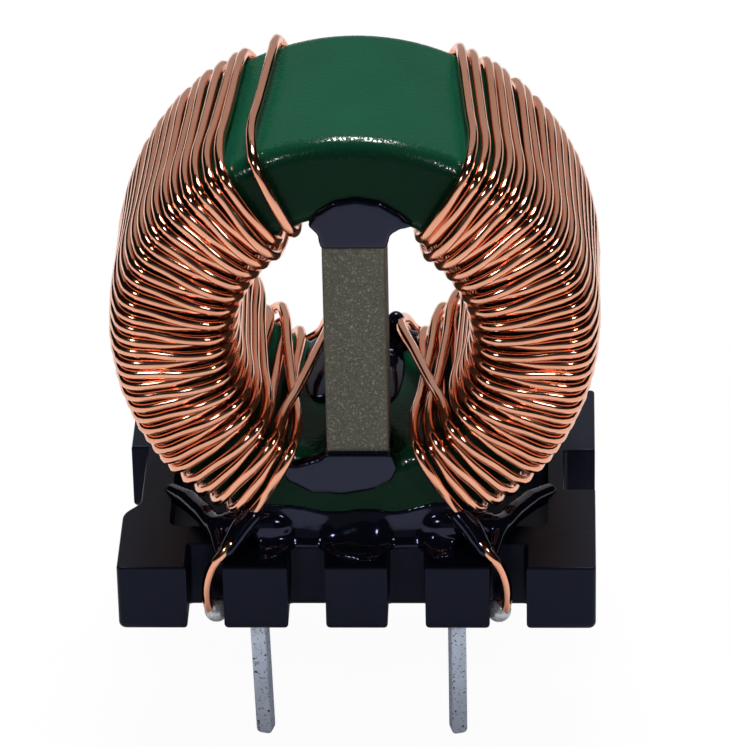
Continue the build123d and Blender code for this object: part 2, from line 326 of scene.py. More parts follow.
@dataclass(frozen=True)
class CoatingFinish:
    """Green powder epoxy on the ring: even colour with painted shade on its flat faces, orange peel and fine
    bright grains.
    """

    light: tuple[int, int, int] = (17, 80, 57)
    dark: tuple[int, int, int] = (12, 67, 46)
    # Painted shade: the colour of the ring's flat faces, darker because little light falls on them
    face: tuple[int, int, int] = (8, 42, 27)

    def make(self, effects: EffectGroups) -> bpy.types.Material:
        """Build the material.

        Args:
            effects: The shared surface effects.

        Returns:
            The finished material.
        """
        bench = MaterialBench("green_epoxy")
        grain = bench.group(effects.grain, Fine_Scale=5200.0, Cloud_Scale=240.0)
        colour = bench.mix(grain.outputs["Cloud"], from_screen(*self.dark), from_screen(*self.light))
        faces = self.faces(bench)
        # Painted shade: the flat faces, found by their normal, take the darker face colour
        colour = bench.mix(faces, colour, from_screen(*self.face))
        bench.join(colour, bench.shader.inputs["Base Color"])
        glints = bench.group(effects.specks, Scale=9000.0, Level=0.5, Edge=0.14)
        edges = self.edges(bench, faces, glints.outputs["Mask"])
        shine = bench.spread(edges, low=0.0, high=4.0)
        bench.join(shine, bench.shader.inputs["Coat Weight"])
        bench.set(Specular_IOR_Level=0.06, Coat_Roughness=0.14, Coat_IOR=2.0)
        bench.roughen(glints.outputs["Mask"], low=0.26, high=0.14)
        bench.emboss(grain.outputs["Height"], strength=0.5, depth=0.00006)
        return bench.material

    @staticmethod
    def faces(bench: MaterialBench) -> bpy.types.NodeSocket:
        """Find the ring's two flat faces, where the colour is darkened as painted shade.

        Args:
            bench: The material's bench.

        Returns:
            A share that is one on the faces and nothing on the rim.
        """
        normal = bench.add("ShaderNodeTexCoord").outputs["Normal"]
        parts = bench.add("ShaderNodeSeparateXYZ")
        bench.join(normal, parts.inputs["Vector"])
        along = bench.add("ShaderNodeMath", operation="ABSOLUTE")
        bench.join(parts.outputs["Y"], along.inputs[0])
        return along.outputs["Value"]

    @staticmethod
    def edges(bench: MaterialBench, faces: bpy.types.NodeSocket,
              mask: bpy.types.NodeSocket) -> bpy.types.NodeSocket:
        """Keep a mask to the ring's rounded edges.

        Args:
            bench: The material's bench.
            faces: The share of the flat faces.
            mask: The mask.

        Returns:
            The mask's socket, which reaches a quarter halfway round an edge.
        """
        rest = bench.add("ShaderNodeMath", operation="SUBTRACT")
        rest.inputs[0].default_value = 1.0
        bench.join(faces, rest.inputs[1])
        both = bench.add("ShaderNodeMath", operation="MULTIPLY")
        bench.join(faces, both.inputs[0])
        bench.join(rest.outputs["Value"], both.inputs[1])
        kept = bench.add("ShaderNodeMath", operation="MULTIPLY")
        bench.join(both.outputs["Value"], kept.inputs[0])
        bench.join(mask, kept.inputs[1])
        return kept.outputs["Value"]


@dataclass(frozen=True)
class BarFinish:
    """Ground ferrite: grey olive with pale and dark specks."""

    ground: tuple[int, int, int] = (97, 94, 78)
    shade: tuple[int, int, int] = (70, 70, 64)
    pale: tuple[int, int, int] = (154, 152, 136)
    dark: tuple[int, int, int] = (50, 50, 42)

    def make(self, effects: EffectGroups) -> bpy.types.Material:
        """Build the material.

        Args:
            effects: The shared surface effects.

        Returns:
            The finished material.
        """
        bench = MaterialBench("bar_ferrite")
        grain = bench.group(effects.grain, Fine_Scale=4200.0, Cloud_Scale=500.0)
        pale = bench.group(effects.specks, Scale=11000.0, Level=0.56, Edge=0.2)
        dark = bench.group(effects.specks, Scale=9000.0, Level=0.56, Edge=0.2)
        colour = bench.mix(
            grain.outputs["Cloud"], from_screen(*self.shade), from_screen(*self.ground))
        colour = bench.mix(pale.outputs["Mask"], colour, from_screen(*self.pale))
        colour = bench.mix(dark.outputs["Mask"], colour, from_screen(*self.dark))
        bench.join(colour, bench.shader.inputs["Base Color"])
        bench.roughen(grain.outputs["Height"], low=0.55, high=0.8)
        bench.emboss(grain.outputs["Height"], strength=0.6, depth=0.00005)
        return bench.material


@dataclass(frozen=True)
class PlasticFinish:
    """Moulded navy black plastic with a fine satin grain."""

    light: tuple[int, int, int] = (11, 14, 25)
    dark: tuple[int, int, int] = (7, 9, 16)

    def make(self, effects: EffectGroups) -> bpy.types.Material:
        """Build the material.

        Args:
            effects: The shared surface effects.

        Returns:
            The finished material.
        """
        bench = MaterialBench("base_plastic")
        grain = bench.group(effects.grain, Fine_Scale=2600.0, Cloud_Scale=160.0)
        colour = bench.mix(grain.outputs["Cloud"], from_screen(*self.dark), from_screen(*self.light))
        bench.join(colour, bench.shader.inputs["Base Color"])
        bench.set(Specular_IOR_Level=0.24, Specular_Tint=from_screen(178, 186, 240))
        bench.roughen(grain.outputs["Cloud"], low=0.3, high=0.46)
        bench.emboss(grain.outputs["Height"], strength=0.25, depth=0.00003)
        return bench.material


@dataclass(frozen=True)
class EpoxyFinish:
    """Glossy black potting epoxy with a faint violet cast."""

    deep: tuple[int, int, int] = (8, 9, 17)
    light: tuple[int, int, int] = (13, 15, 26)

    def make(self, effects: EffectGroups) -> bpy.types.Material:
        """Build the material.

        Args:
            effects: The shared surface effects.

        Returns:
            The finished material.
        """
        bench = MaterialBench("black_epoxy")
        grain = bench.group(effects.grain, Fine_Scale=350.0, Cloud_Scale=120.0)
        colour = bench.mix(grain.outputs["Cloud"], from_screen(*self.deep), from_screen(*self.light))
        bench.join(colour, bench.shader.inputs["Base Color"])
        bench.set(IOR=1.56, Specular_Tint=from_screen(184, 190, 236))
        bench.roughen(grain.outputs["Cloud"], low=0.06, high=0.14)
        bench.emboss(grain.outputs["Height"], strength=0.3, depth=0.0002)
        return bench.material


@dataclass(frozen=True)
class TinFinish:
    """Tinned pins: dull blue grey metal with dark pits."""

    name: str = "tinned_pin"
    metal: tuple[int, int, int] = (226, 236, 254)
    shade: tuple[int, int, int] = (182, 192, 214)
    pit: tuple[int, int, int] = (52, 54, 66)
    roughness: float = 0.42
    pit_level: float = 0.6

    def make(self, effects: EffectGroups) -> bpy.types.Material:
        """Build the material.

        Args:
            effects: The shared surface effects.

        Returns:
            The finished material.
        """
        bench = MaterialBench(self.name)
        grain = bench.group(effects.grain, Fine_Scale=3600.0, Cloud_Scale=700.0)
        pits = bench.group(effects.specks, Scale=7000.0, Level=self.pit_level, Edge=0.08)
        colour = bench.mix(grain.outputs["Cloud"], from_screen(*self.shade), from_screen(*self.metal))
        colour = bench.mix(pits.outputs["Mask"], colour, from_screen(*self.pit))
        bench.join(colour, bench.shader.inputs["Base Color"])
        bench.set(Metallic=0.55)
        bench.roughen(grain.outputs["Height"], low=self.roughness - 0.12, high=self.roughness + 0.15)
        bench.emboss(grain.outputs["Height"], strength=0.5, depth=0.00006)
        return bench.material


class WireDrawer:
    """Geometry Nodes that draw a round wire along a curve."""

    def __init__(self) -> None:
        """Build the tree with its named inputs."""
        tree = bpy.data.node_groups.new("drawn_wire", "GeometryNodeTree")
        self.tree = tree
        tree.interface.new_socket("Geometry", in_out="INPUT", socket_type="NodeSocketGeometry")
        tree.interface.new_socket("Wire Radius", in_out="INPUT", socket_type="NodeSocketFloat")
        tree.interface.new_socket("Step", in_out="INPUT", socket_type="NodeSocketFloat")
        tree.interface.new_socket("Sides", in_out="INPUT", socket_type="NodeSocketInt")
        tree.interface.new_socket("Finish", in_out="INPUT", socket_type="NodeSocketMaterial")
        tree.interface.new_socket("Geometry", in_out="OUTPUT", socket_type="NodeSocketGeometry")
        given = tree.nodes.new("NodeGroupInput")
        result = tree.nodes.new("NodeGroupOutput")
        even = tree.nodes.new("GeometryNodeResampleCurve")
        even.mode = "LENGTH"
        ring = tree.nodes.new("GeometryNodeCurvePrimitiveCircle")
        tube = tree.nodes.new("GeometryNodeCurveToMesh")
        tube.inputs["Fill Caps"].default_value = True
        smooth = tree.nodes.new("GeometryNodeSetShadeSmooth")
        real = tree.nodes.new("GeometryNodeRealizeInstances")
        dress = tree.nodes.new("GeometryNodeSetMaterial")
        links = tree.links
        links.new(given.outputs["Geometry"], even.inputs["Curve"])
        links.new(given.outputs["Step"], even.inputs["Length"])
        links.new(given.outputs["Wire Radius"], ring.inputs["Radius"])
        links.new(given.outputs["Sides"], ring.inputs["Resolution"])
        links.new(even.outputs["Curve"], tube.inputs["Curve"])
        links.new(ring.outputs["Curve"], tube.inputs["Profile Curve"])
        links.new(tube.outputs["Mesh"], smooth.inputs["Geometry"])
        links.new(smooth.outputs["Geometry"], real.inputs["Geometry"])
        links.new(real.outputs["Geometry"], dress.inputs["Geometry"])
        links.new(given.outputs["Finish"], dress.inputs["Material"])
        links.new(dress.outputs["Geometry"], result.inputs["Geometry"])

    def draw(self, name: str, points: list[Vector], radius: float, step: float, sides: int,
             finish: bpy.types.Material) -> bpy.types.Object:
        """Draw a wire through points.

        Args:
            name: The piece's name.
            points: The centre line, in metres.
            radius: The wire's radius in metres.
            step: The distance between rings in metres.
            sides: How many sides the wire's section has.
            finish: The wire's material.

        Returns:
            The finished mesh object.
        """
        curve = bpy.data.curves.new(name, "CURVE")
        curve.dimensions = "3D"
        spline = curve.splines.new("BEZIER")
        spline.bezier_points.add(len(points) - 1)
        for knot, point in zip(spline.bezier_points, points):
            knot.co = point
            knot.handle_left_type = "AUTO"
            knot.handle_right_type = "AUTO"
        holder = bpy.data.objects.new(f"{name}_route", curve)
        bpy.context.scene.collection.objects.link(holder)
        modifier = holder.modifiers.new("wire", "NODES")
        modifier.node_group = self.tree
        values = {"Wire Radius": radius, "Step": step, "Sides": sides, "Finish": finish}
        for item in self.tree.interface.items_tree:
            if item.in_out == "INPUT" and item.name in values:
                modifier[item.identifier] = values[item.name]
        graph = bpy.context.evaluated_depsgraph_get()
        mesh = bpy.data.meshes.new_from_object(holder.evaluated_get(graph))
        holder.modifiers.remove(modifier)
        bpy.data.objects.remove(holder)
        piece = bpy.data.objects.new(name, mesh)
        bpy.context.scene.collection.objects.link(piece)
        return piece


@dataclass
class CoreSizes:
    """The coated ring's place and section, read from the frame, in millimetres."""

    radius: float
    bore_radius: float
    half: float
    height: float

    @staticmethod
    def from_frame(bore_radius: float) -> "CoreSizes":
        """Read the ring's box from the frame.

        Args:
            bore_radius: The bore's radius in millimetres.

        Returns:
            The ring's sizes.
        """
        low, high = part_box("core_coating")
        radius = (high[0] - low[0]) / 2 / MM
        return CoreSizes(radius, bore_radius, (high[1] - low[1]) / 2 / MM, (high[2] + low[2]) / 2 / MM)

    def on_ring(self, side: Side, angle: float, radius: float, y: float) -> Vector:
        """Find a point by its angle from the ring's top, down one side.

        Args:
            side: The side.
            angle: The angle in degrees.
            radius: The distance from the ring's axis in millimetres.
            y: The place along the axis in millimetres.

        Returns:
            The point in metres.
        """
        turn = math.radians(angle)
        x = side.value * radius * math.sin(turn)
        return Vector((x, y, self.height + radius * math.cos(turn))) * MM


@dataclass
class Winding:
    """One winding: up the ring in the lower layer of the bore, then down between those turns."""

    node: str
    side: Side
    lone_turn: float
    first_turn: float
    seed: int
    wire_radius: float = 0.275
    outer_radius: float = 12.02
    outer_reach: float = 11.92
    spacing: float = 1.315
    lean: float = 3.5
    layer_step: float = 0.57
    last_turn: float = 151.6
    spread_turns: int = 5
    spread_spacing: float = 1.34
    slot_wall: float = 6.675
    face: float = 8.65
    base_top: float = 3.8
    unevenness: float = 0.03
    stray: float = 1.2
    cross_turn: int = 3
    cross_rear: float = 162.5
    cross_shares: tuple[float, ...] = (0.5, 0.95, 1.0, 1.0)
    cross_lifts: tuple[float, ...] = (0.5, 0.5, 0.55, 0.55)
    step: float = 0.33
    sides: int = 12

    # The lead's bends: out from the slot's wall, in from the face, and up from the base's foot or top
    lead_low: tuple[tuple[float, float, float], ...] = ((0.62, 0.95, 0.5), (0.86, 0.72, 1.4))
    lead_high: tuple[tuple[float, float, float], ...] = (
        (0.58, 0.55, -0.45), (-0.18, 0.6, 0.7), (-0.92, 1.6, 1.45))

    # The turns' bends: out from the bore or the outer surface, and out from the ring's face
    upper_bends: tuple[tuple[float, float], ...] = ((-0.885, -1.0), (-0.33, 0.36), (0.75, 0.78))
    lower_bends: tuple[tuple[float, float], ...] = ((-0.315, -1.0), (0.07, -0.07), (1.0, 0.33))
    outer_bends: tuple[tuple[float, float], ...] = ((-1.5, 0.46), (0.0, 0.02), (0.36, -0.8))
    outer_depth: float = 2.3

    def angles(self) -> list[float]:
        """Space the turns at the front outer edge.

        Returns:
            Their angles from the top to the bottom, in degrees.
        """
        pitch = math.degrees(2 * self.wire_radius * self.spacing / self.outer_radius)
        wide = pitch * self.spread_spacing
        start = self.last_turn - self.spread_turns * wide
        count = round((start - self.first_turn) / pitch)
        count += (count + self.spread_turns + 1) % 2
        close = (start - self.first_turn) / count
        turns = [self.lone_turn]
        turns += [self.first_turn + close * index for index in range(count + 1)]
        turns += [start + wide * (index + 1) for index in range(self.spread_turns)]
        return turns

    def lead(self, end: End) -> list[Vector]:
        """Lead the wire from its pin up the slot and over the block beside it.

        Args:
            end: The face of the ring on whose side the lead lies.

        Returns:
            The points in metres.
        """
        places = [(self.slot_wall + out, self.face - back, rise) for out, back, rise in self.lead_low]
        places += [(self.slot_wall + out, self.face - back, self.base_top + rise)
                   for out, back, rise in self.lead_high]
        return [Vector((self.side.value * x, end.value * y, z)) * MM for x, y, z in places]

    def over_face(self, core: CoreSizes, end: End, angle: float, upper: bool,
                  uneven: random.Random) -> list[tuple[float, float, float]]:
        """The wire over one face of the ring, from its bore to its outer surface.

        Args:
            core: The coated ring.
            end: The face.
            angle: The angle from the ring's top.
            upper: True if the wire lies in the upper layer of the bore.
            uneven: The source of small unevenness.

        Returns:
            The points' angles, radii and heights along the ring's axis.
        """
        inner_bends = self.upper_bends if upper else self.lower_bends
        profile = [(core.bore_radius + out, core.half + rise) for out, rise in inner_bends]
        profile += [(core.radius + out, core.half + rise) for out, rise in self.outer_bends]
        profile.append((self.outer_reach, core.half - self.outer_depth))
        shift = uneven.uniform(-1, 1) * self.unevenness
        lift = uneven.uniform(0, 1) * self.unevenness
        return [(angle + math.degrees(shift / radius), radius + lift, end.value * (y + lift))
                for radius, y in profile]

    @staticmethod
    def between(near: tuple[float, float, float], far: tuple[float, float, float]) -> list:
        """Find two points on the straight run between two others, a third of it apart."""
        shares = (1 / 3, 2 / 3)
        return [tuple(a + (b - a) * share for a, b in zip(near, far)) for share in shares]

    def stray_run(self, core: CoreSizes, face: list[tuple[float, float, float]]) -> list:
        """Let a turn cross the rear face and enter the bore lower down, over its neighbours.

        Args:
            core: The coated ring.
            face: The turn's points over the rear face, from its outer surface to its bore.

        Returns:
            The same points, strayed.
        """
        kept = (0.0,) * (len(face) - len(self.cross_shares))
        shares = kept + self.cross_shares
        lifts = kept + self.cross_lifts
        strayed = []
        for (angle, radius, y), share, lift in zip(face, shares, lifts):
            turn = angle + (self.cross_rear - angle) * share
            on_face = radius > core.bore_radius
            strayed.append((turn, radius, y + lift) if on_face else (turn, radius - lift, y))
        return strayed

    def route(self, core: CoreSizes) -> list[Vector]:
        """Lay the wire's whole centre line, from the rear lead to the front lead.

        Args:
            core: The coated ring.

        Returns:
            The points in metres.
        """
        uneven = random.Random(self.seed)
        angles = self.angles()
        upward, downward = angles[-2:0:-2], angles[0::2]
        turns = upward + downward
        faces = [list(reversed(self.over_face(core, End.REAR, angles[-1], False, uneven)[:4]))]
        for index, angle in enumerate(turns):
            upper = index > len(upward)
            faces.append(self.over_face(core, End.FRONT, angle, upper, uneven))
            stray = uneven.uniform(-1, 1) * self.stray if upper else 0.0
            rear = angle - self.lean + stray
            next_upper = index + 1 > len(upward)
            face = list(reversed(self.over_face(core, End.REAR, rear, next_upper, uneven)))
            faces.append(self.stray_run(core, face) if index == len(turns) - self.cross_turn else face)
        faces = faces[:-1]
        faces[-1] = faces[-1][:4]
        path = list(faces[0])
        for face in faces[1:]:
            path += self.between(path[-1], face[0]) + face
        middle = [core.on_ring(self.side, *place) for place in path]
        return self.lead(End.REAR) + middle + list(reversed(self.lead(End.FRONT)))

    def build(self, core: CoreSizes, drawer: WireDrawer, finish: bpy.types.Material) -> bpy.types.Object:
        """Draw the winding and let it stand for its node.

        Args:
            core: The coated ring.
            drawer: The wire's Geometry Nodes.
            finish: The wire's material.

        Returns:
            The winding's mesh object.
        """
        piece = drawer.draw(f"{self.node}_wire", self.route(core), self.wire_radius * MM,
                            self.step * MM, self.sides, finish)
        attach(piece, BODY)
        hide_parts(self.node)
        LOG.info("%s: %d faces", piece.name, len(piece.data.polygons))
        return piece


@dataclass(frozen=True)
class Drop:
    """An egg-shaped mass of epoxy: its middle and its three half widths, in millimetres."""

    middle: tuple[float, float, float]
    reach: tuple[float, float, float]

    def add_to(self, mesh: bmesh.types.BMesh) -> None:
        """Add the drop's closed skin to a mesh.

        Args:
            mesh: The mesh that takes it.
        """
        place = Matrix.Translation(Vector(self.middle) * MM)
        grow = Matrix.Diagonal((*(Vector(self.reach) * MM), 1.0))
        bmesh.ops.create_icosphere(mesh, subdivisions=4, radius=1.0, matrix=place @ grow)


@dataclass(frozen=True)
class Strand:
    """A string of epoxy that runs through places, with a half width at each, in millimetres."""

    places: tuple[tuple[float, float, float], ...]
    widths: tuple[float, ...]
    beads: int = 14

    def add_to(self, mesh: bmesh.types.BMesh) -> None:
        """Add the strand to a mesh as a row of overlapping beads.

        Args:
            mesh: The mesh that takes it.
        """
        for index in range(len(self.places) - 1):
            near, far = Vector(self.places[index]), Vector(self.places[index + 1])
            for bead in range(self.beads):
                share = bead / (self.beads - 1)
                width = self.widths[index] * (1 - share) + self.widths[index + 1] * share
                middle = near.lerp(far, share)
                Drop(tuple(middle), (width, width, width)).add_to(mesh)


@dataclass(frozen=True)
class Patch:
    """A flat mass of epoxy with a drawn outline, in places across and above the ring's middle."""

    outline: tuple[tuple[float, float], ...]
    middle: float
    near: float
    far: float

    def add_to(self, mesh: bmesh.types.BMesh) -> None:
        """Add the patch's closed skin to a mesh.

        Args:
            mesh: The mesh that takes it.
        """
        front, back = (
            [mesh.verts.new(Vector((x, y, self.middle + rise)) * MM) for x, rise in self.outline]
            for y in (self.near, self.far))
        mesh.faces.new(front)
        mesh.faces.new(list(reversed(back)))
        for index in range(len(front)):
            mesh.faces.new((front[index - 1], front[index], back[index], back[index - 1]))


@dataclass(frozen=True)
class Ripple:
    """A gentle wave across the base, in millimetres."""

    height: float
    pace: float
    start: float

    def at(self, x: float) -> float:
        """Give the wave's height at a place across."""
        return self.height * math.sin(self.pace * x + self.start)


@dataclass(frozen=True)
class Film:
    """A film of epoxy that runs in a hollow curve from the ring's face to the tops of the blocks."""

    end: End
    core: CoreSizes
    half_width: float = 4.9
    base_top: float = 3.8
    top_rise: float = 1.75
    toe: float = 8.22
    slot_toe: float = 6.75
    slots: tuple[float, ...] = (-2.5, 2.5)
    slot_half: float = 1.05
    slot_blend: float = 0.8
    toe_inset: float = 0.26
    toe_ripple: Ripple = Ripple(0.2, 2.2, 0.6)
    rise_ripple: Ripple = Ripple(0.1, 1.9, 0.8)
    edge_climb: float = 0.55
    swell: float = 0.07
    swell_pace: tuple[float, float] = (1.9, 2.2)
    reach_bend: float = 1.25
    fall_bend: float = 2.4
    thickness: float = 0.1
    depth: float = 0.42
    columns: int = 70
    rows: int = 16

    def toe_at(self, x: float) -> float:
        """Find how far the film reaches from the middle of the base, shorter over the slots.

        Args:
            x: The place across.

        Returns:
            The reach in millimetres.
        """
        nearest = min(abs(x - slot) for slot in self.slots)
        share = min(1.0, max(0.0, (nearest - self.slot_half) / self.slot_blend + 0.5))
        toe = self.toe + self.toe_ripple.at(x) - self.toe_inset
        return self.slot_toe + (toe - self.slot_toe) * share

    def rise_at(self, x: float) -> float:
        """Find how high the film stands on the ring's face above the base.

        Args:
            x: The place across.

        Returns:
            The height in millimetres.
        """
        radius = self.core.radius
        edge = radius - math.sqrt(radius ** 2 - x ** 2)
        return self.top_rise + self.edge_climb * edge + self.rise_ripple.at(x)

    def point(self, x: float, share: float) -> tuple[float, float]:
        """Find a point of the film's upper side.

        Args:
            x: The place across.
            share: The share of its run from the ring's face to its toe.

        Returns:
            Its distance from the middle of the base and its height, in millimetres.
        """
        face = self.core.half + 0.02
        reach = face + (self.toe_at(x) - face) * share ** self.reach_bend
        across, along = self.swell_pace
        swell = self.swell * math.sin(math.pi * share) * (1 + math.sin(across * x + along * share))
        height = self.thickness + swell + self.rise_at(x) * (1 - share) ** self.fall_bend
        return reach, self.base_top + height

    def add_to(self, mesh: bmesh.types.BMesh) -> None:
        """Add the film to a mesh as a closed sheet, with its underside sunk below it.

        Args:
            mesh: The mesh that takes it.
        """
        sheets = []
        for depth in (0.0, self.depth):
            rows = []
            for column in range(self.columns + 1):
                x = self.half_width * (2 * column / self.columns - 1)
                places = [self.point(x, row / self.rows) for row in range(self.rows + 1)]
                rows.append([mesh.verts.new(Vector((x, self.end.value * (y - depth), z - depth)) * MM)
                             for y, z in places])
            sheets.append(rows)
        front, back = sheets
        for column in range(self.columns):
            for row in range(self.rows):
                for sheet in sheets:
                    mesh.faces.new((sheet[column][row], sheet[column + 1][row],
                                    sheet[column + 1][row + 1], sheet[column][row + 1]))
        for column in range(self.columns):
            for row in (0, self.rows):
                mesh.faces.new((front[column][row], front[column + 1][row],
                                back[column + 1][row], back[column][row]))
        for column in (0, self.columns):
            for row in range(self.rows):
                mesh.faces.new((front[column][row], front[column][row + 1],
                                back[column][row + 1], back[column][row]))


@dataclass
class EpoxyBody:
    """A body of epoxy: its masses run together and relaxed to a liquid's form."""

    node: str
    masses: tuple[Drop | Strand | Patch | Film, ...]
    voxel: float = 0.1
    swell: float = 0.05
    rounds: int = 14

    def build(self, finish: bpy.types.Material) -> bpy.types.Object:
        """Make the epoxy's mesh and let it stand for its node.

        Args:
            finish: The epoxy's material.

        Returns:
            The epoxy's mesh object.
        """
        skin = bmesh.new()
        for mass in self.masses:
            mass.add_to(skin)
        mesh = bpy.data.meshes.new(f"{self.node}_flow")
        skin.to_mesh(mesh)
        skin.free()
        piece = bpy.data.objects.new(f"{self.node}_flow", mesh)
        bpy.context.scene.collection.objects.link(piece)
        grid = piece.modifiers.new("grid", "REMESH")
        grid.mode = "VOXEL"
        grid.voxel_size = self.voxel * MM
        grid.use_smooth_shade = True
        push = piece.modifiers.new("push", "DISPLACE")
        push.strength = self.swell * MM
        push.mid_level = 0.0
        relax = piece.modifiers.new("relax", "SMOOTH")
        relax.factor = 0.5
        relax.iterations = self.rounds
        graph = bpy.context.evaluated_depsgraph_get()
        piece.data = bpy.data.meshes.new_from_object(piece.evaluated_get(graph))
        piece.modifiers.clear()
        piece.data.materials.clear()
        piece.data.materials.append(finish)
        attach(piece, BODY)
        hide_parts(self.node)
        LOG.info("%s: %d faces", piece.name, len(piece.data.polygons))
        return piece


@dataclass(frozen=True)
class LeaningPin:
    """A pin that was bent a little to one side below the base."""

    node: str
    lean: float

    def build(self, finish: bpy.types.Material) -> bpy.types.Object:
        """Lean a copy of the pin's mesh and let it stand for its node.

        Args:
            finish: The pin's material.

        Returns:
            The leaning pin's mesh object.
        """
        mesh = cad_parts[self.node].data.copy()
        slope = math.tan(math.radians(self.lean))
        for vertex in mesh.vertices:
            vertex.co.x -= min(vertex.co.z, 0.0) * slope
        mesh.materials.clear()
        mesh.materials.append(finish)
        piece = bpy.data.objects.new(f"{self.node}_bent", mesh)
        bpy.context.scene.collection.objects.link(piece)
        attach(piece, BODY)
        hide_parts(self.node)
        return piece


def bore_drop(core: CoreSizes, x: float, y: float, rise: float, reach: tuple[float, float, float]) -> Drop:
    """Place a drop from the ring's middle, with its rise above it."""
    return Drop((x, y, core.height + rise), reach)


def upper_bead(core: CoreSizes) -> EpoxyBody:
    """Shape the bead that holds the top of the bar.

    Args:
        core: The coated ring.

    Returns:
        The bead's body.
    """
    bore, half = core.bore_radius, core.half
    outline = ((-2.0, 6.85), (-1.6, 7.6), (-0.85, 8.15), (0.3, 8.38), (1.5, 8.15), (2.4, 7.55),
               (3.1, 6.8), (2.45, 6.7), (1.92, 6.35), (1.74, 5.6), (-1.47, 5.6), (-1.55, 6.35))
    return EpoxyBody("upper_bar_glue", (
        Patch(outline, middle=core.height, near=-half - 0.24, far=-half + 0.6),
        bore_drop(core, x=0.15, y=-half + 1.9, rise=bore - 0.4, reach=(1.7, 1.9, 0.7)),
        bore_drop(core, x=0.3, y=0.0, rise=bore - 0.1, reach=(2.0, half - 0.2, 0.6)),
    ))


def lower_bead(core: CoreSizes) -> EpoxyBody:
    """Shape the bead at the foot of the bar, the film behind it and the low peak at the rear.

    Args:
        core: The coated ring.

    Returns:
        The bead's body.
    """
    bore, half = core.bore_radius, core.half
    outline = ((-3.8, -6.7), (-2.9, -6.8), (-1.8, -6.45), (-1.4, -6.12), (1.75, -6.12), (2.05, -6.9),
               (1.85, -7.6), (0.9, -8.2), (-0.6, -8.5), (-2.3, -8.35), (-3.4, -7.7))
    film_x = (-2.1, -1.0, 0.2, 1.3)
    film = tuple(
        bore_drop(core, x=x, y=half - 3.3, rise=-math.sqrt(bore ** 2 - x ** 2) + 0.04,
                  reach=(1.1, 3.25, 0.34))
        for x in film_x)
    return EpoxyBody("lower_bar_glue", film + (
        Patch(outline, middle=core.height, near=-half - 0.26, far=-half + 0.5),
        bore_drop(core, x=0.12, y=-half + 0.45, rise=-bore + 0.05, reach=(1.8, 0.62, 0.7)),
        bore_drop(core, x=0.15, y=-half + 1.9, rise=-bore + 0.35, reach=(1.75, 1.9, 0.6)),
        bore_drop(core, x=1.9, y=half - 0.75, rise=-bore + 0.5, reach=(1.5, 0.7, 0.6)),
        bore_drop(core, x=1.75, y=half - 0.7, rise=-bore + 1.5, reach=(0.5, 0.5, 0.75)),
    ))


def side_web(node: str, side: Side) -> EpoxyBody:
    """Shape the strands that run from under one winding to the rail and along the lead.

    Args:
        node: The node that the web stands for.
        side: The side of the choke.

    Returns:
        The web's body.
    """
    def run(*places: tuple[float, float, float]) -> tuple[tuple[float, float, float], ...]:
        """Turn places given for the right to this side."""
        return tuple((side.value * x, y, z) for x, y, z in places)

    apron, = run((6.5, -5.2, 3.5))
    to_rail = run((9.6, -1.2, 3.6), (8.7, -2.6, 4.0), (7.8, -4.4, 4.3), (7.05, -6.3, 4.35), (6.75, -7.7, 4.0))
    along_lead = run((5.2, -6.6, 5.6), (5.8, -7.1, 5.1), (6.45, -7.95, 4.4))
    under_turns = run((7.7, -4.5, 4.2), (7.0, -5.8, 4.4), (5.4, -6.3, 5.0))
    return EpoxyBody(node, (
        Drop(apron, reach=(1.3, 1.2, 1.2)),
        Strand(to_rail, widths=(0.45, 0.52, 0.5, 0.4, 0.36)),
        Strand(along_lead, widths=(0.5, 0.52, 0.38)),
        Strand(under_turns, widths=(0.42, 0.6, 0.7)),
    ))


def cradle(node: str, end: End, core: CoreSizes) -> EpoxyBody:
    """Shape the fillet between one face of the ring and the base's bar.

    Args:
        node: The node that the fillet stands for.
        end: The face of the ring.
        core: The coated ring.

    Returns:
        The fillet's body.
    """
    def lie(place: tuple[float, float, float], reach: tuple[float, float, float]) -> Drop:
        """Turn a drop given for the front to this end."""
        x, y, z = place
        return Drop((x, -end.value * y, z), reach)

    return EpoxyBody(node, (
        Film(end, core),
        lie(place=(-4.6, -6.2, 4.6), reach=(1.3, 0.6, 0.9)),
        lie(place=(4.6, -6.2, 4.6), reach=(1.3, 0.6, 0.9)),
        lie(place=(0.1, -7.3, 3.85), reach=(1.2, 0.7, 0.3)),
    ))


@dataclass(frozen=True)
class Lamp:
    """A soft square lamp that points at the middle of the choke."""

    name: str
    place: tuple[float, float, float]
    size: float
    power: float

    def build(self, target: Vector) -> None:
        """Set up the lamp.

        Args:
            target: The point that it lights, in metres.
        """
        data = bpy.data.lights.new(self.name, "AREA")
        data.shape = "SQUARE"
        data.size = self.size
        data.energy = self.power
        lamp = bpy.data.objects.new(self.name, data)
        lamp.location = self.place
        lamp.rotation_mode = "QUATERNION"
        lamp.rotation_quaternion = (target - Vector(self.place)).to_track_quat("-Z", "Y")
        bpy.context.scene.collection.objects.link(lamp)


